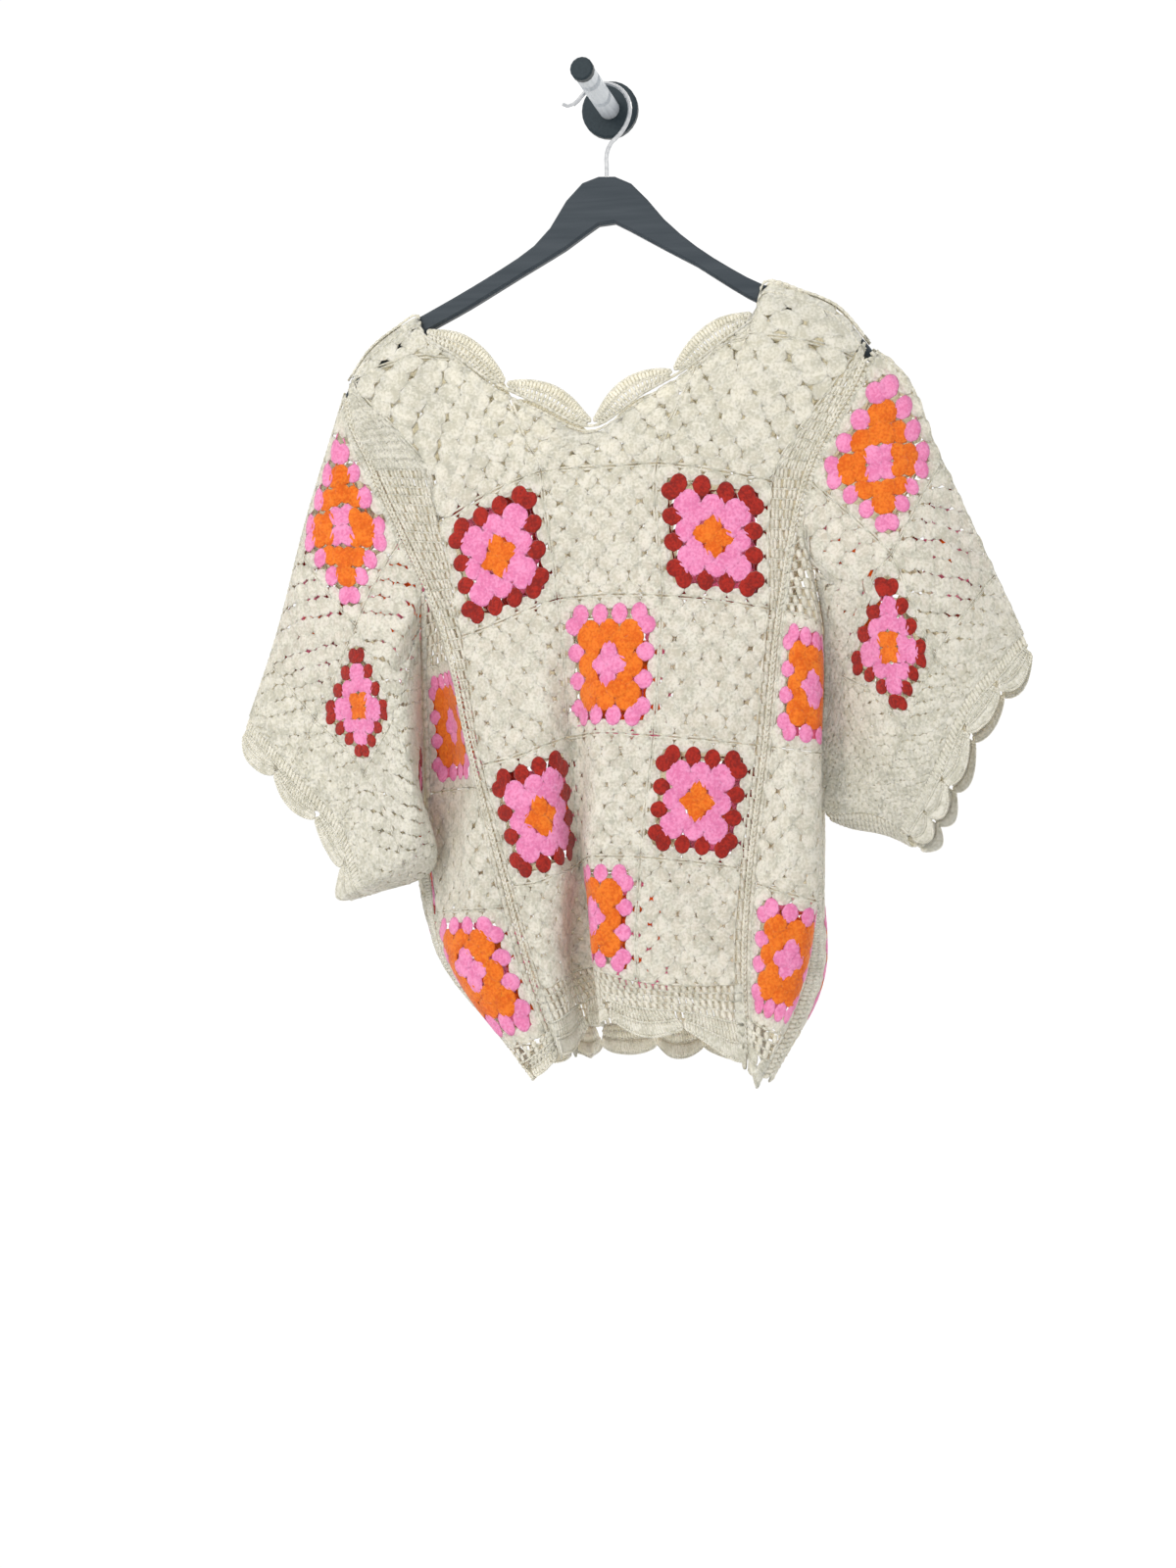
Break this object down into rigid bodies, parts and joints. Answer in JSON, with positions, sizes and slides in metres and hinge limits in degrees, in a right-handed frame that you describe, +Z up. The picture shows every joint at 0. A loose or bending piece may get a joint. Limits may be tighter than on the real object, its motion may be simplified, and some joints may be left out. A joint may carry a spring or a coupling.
{
  "type": "crochet top on a coat hanger and wall hook",
  "caption": "Short V-neck crochet top of granny squares with wide scalloped sleeves, shown from its back on a wooden hanger that hangs from a wall hook.",
  "frame": {"origin": "middle of the wall plate's back face, on the wall", "axes": "+Z up, +Y into the wall, +X to the right of someone facing the wall"},
  "size_m": [0.6609, 0.12, 0.8408],
  "materials": {
    "cream_cotton": "crocheted cotton yarn, cream with pink, orange and dark red squares",
    "edging_cotton": "crocheted cotton yarn, cream",
    "black_wood": "matt black paint on wood",
    "black_plastic": "matt black",
    "aluminium": "turned and polished",
    "label_cloth": "woven, blank"
  },
  "bodies": {
    "root": {"wall_plate": "black_plastic", "peg": "aluminium", "peg_cap": "black_plastic", "hanger_body": "black_wood", "hanger_hook": "aluminium", "neck_label": "label_cloth", "back_panel": "cream_cotton", "back_yoke": "cream_cotton", "neck_edging_back": "edging_cotton", "hem_back": "edging_cotton", "side_back_left": "cream_cotton", "sleeve_back_left": "cream_cotton", "hem_back_left": "edging_cotton", "cuff_back_left": "edging_cotton", "seam_back_left": "edging_cotton", "side_back_right": "cream_cotton", "sleeve_back_right": "cream_cotton", "hem_back_right": "edging_cotton", "cuff_back_right": "edging_cotton", "seam_back_right": "edging_cotton", "front_panel": "cream_cotton", "front_yoke": "cream_cotton", "neck_edging_front": "edging_cotton", "hem_front": "edging_cotton", "side_front_left": "cream_cotton", "sleeve_front_left": "cream_cotton", "hem_front_left": "edging_cotton", "cuff_front_left": "edging_cotton", "seam_front_left": "edging_cotton", "side_front_right": "cream_cotton", "sleeve_front_right": "cream_cotton", "hem_front_right": "edging_cotton", "cuff_front_right": "edging_cotton", "seam_front_right": "edging_cotton", "side_band_left": "edging_cotton", "under_arm_band_left": "edging_cotton", "shoulder_left": "edging_cotton", "side_band_right": "edging_cotton", "under_arm_band_right": "edging_cotton", "shoulder_right": "edging_cotton"}
  },
  "joints": []
}
